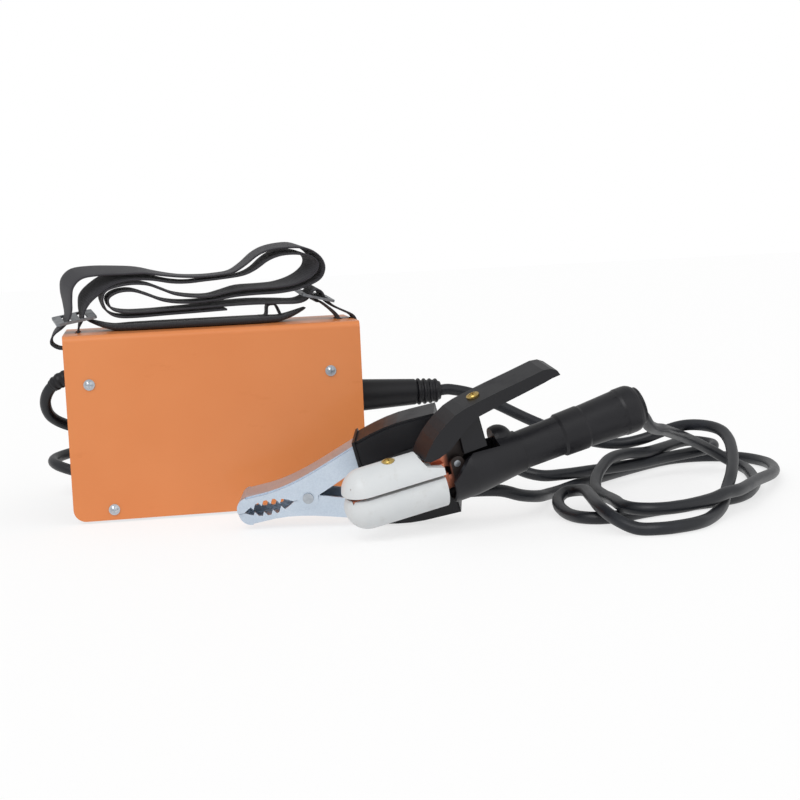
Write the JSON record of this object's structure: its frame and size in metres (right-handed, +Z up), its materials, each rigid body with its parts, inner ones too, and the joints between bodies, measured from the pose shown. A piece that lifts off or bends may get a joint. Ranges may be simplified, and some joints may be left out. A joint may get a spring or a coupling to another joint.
{
  "type": "arc welding machine",
  "caption": "Portable arc welding inverter in a folded steel case with carrying strap, electrode holder, earth clamp and piled leads.",
  "frame": {"origin": "floor level under the middle of the case", "axes": "+X towards the front panel and the pile of leads, +Y away from the clamp and the holder, +Z up"},
  "size_m": [0.6224, 0.4751, 0.2157],
  "materials": {
    "painted_cover": "satin powder coat",
    "sheet_steel": "galvanised",
    "black_plastic": "matt",
    "black_rubber": "matt",
    "screw_steel": "bright zinc",
    "brass": "turned",
    "red_plastic": "gloss",
    "lamp_plastic": "gloss",
    "circuit_board": "lacquered",
    "aluminium": "extruded",
    "winding_parts": "taped",
    "copper": "worn copper plating",
    "capacitor_sleeve": "gloss",
    "webbing": "woven",
    "pad_fabric": "woven",
    "buckle_steel": "dull",
    "white_insulator": "glazed moulding",
    "clamp_steel": "zinc plated",
    "lead_jacket": "satin"
  },
  "bodies": {
    "case": {"cover": "painted_cover", "base_tray": "sheet_steel", "front_panel": "black_plastic", "rear_panel": "black_plastic", "feet": "black_rubber", "cover_screws": "screw_steel", "panel_screws": "screw_steel", "socket_upper": "brass", "socket_lower": "brass", "potentiometer": "sheet_steel", "indicator_lamps": "lamp_plastic", "switch_body": "black_plastic", "fan_frame": "black_plastic", "fan_guard": "screw_steel", "fan_screws": "screw_steel", "cord_gland": "black_plastic", "earth_stud": "screw_steel", "main_board": "circuit_board", "board_standoffs": "brass", "heatsinks": "aluminium", "transformer": "winding_parts", "choke": "winding_parts", "capacitors": "capacitor_sleeve", "rectifier": "black_plastic", "control_board": "circuit_board", "busbars": "copper", "strap": "webbing", "buckle_left": "buckle_steel", "buckle_right": "buckle_steel", "shoulder_pad": "pad_fabric", "boot_upper": "black_rubber", "boot_lower": "black_rubber", "plug_pin_upper": "brass", "plug_pin_lower": "brass", "holder_tube": "black_plastic", "holder_collar": "black_plastic", "holder_core": "copper", "lower_insulator": "white_insulator", "holder_pin": "screw_steel", "holder_spring": "sheet_steel", "clamp_lower": "clamp_steel", "clamp_rivet": "screw_steel", "clamp_spring": "sheet_steel", "sleeve_lower": "black_rubber", "electrode_lead": "lead_jacket", "earth_lead": "lead_jacket", "mains_lead": "lead_jacket", "mains_coil": "lead_jacket", "mains_tail": "lead_jacket", "mains_plug": "black_plastic"},
    "fan": {"fan_rotor": "black_plastic"},
    "rocker": {"switch_rocker": "red_plastic"},
    "knob": {"current_knob": "black_plastic"},
    "jaw_arm": {"holder_lever": "black_plastic", "upper_jaw": "copper", "upper_insulator": "white_insulator", "holder_screws": "brass"},
    "clamp_arm": {"clamp_upper": "clamp_steel", "sleeve_upper": "black_rubber"}
  },
  "joints": [
    {"name": "fan_spin", "type": "hinge", "parent": "case", "child": "fan", "pos_m": [-0.0787, 0, 0.052], "axis": [1, 0, 0], "continuous": true},
    {"name": "switch_rock", "type": "hinge", "parent": "case", "child": "rocker", "pos_m": [-0.0906, -0.024, 0.118], "axis": [0, 0, -1], "range_deg": [0, 20]},
    {"name": "knob_turn", "type": "hinge", "parent": "case", "child": "knob", "pos_m": [0.098, 0.024, 0.124], "axis": [1, 0, 0], "range_deg": [-135, 135]},
    {"name": "holder_open", "type": "hinge", "parent": "case", "child": "jaw_arm", "pos_m": [0.16081, -0.207, 0.05445], "axis": [-0.1575, 0.967, 0.2004], "range_deg": [0, 14], "stiffness_Nm_per_rad": 4, "springref_deg": -14.32},
    {"name": "clamp_open", "type": "hinge", "parent": "case", "child": "clamp_arm", "pos_m": [0.063, -0.134, 0.0264], "axis": [0.22, 0.9606, 0.1699], "range_deg": [0, 17], "stiffness_Nm_per_rad": 4, "springref_deg": -14.32}
  ]
}
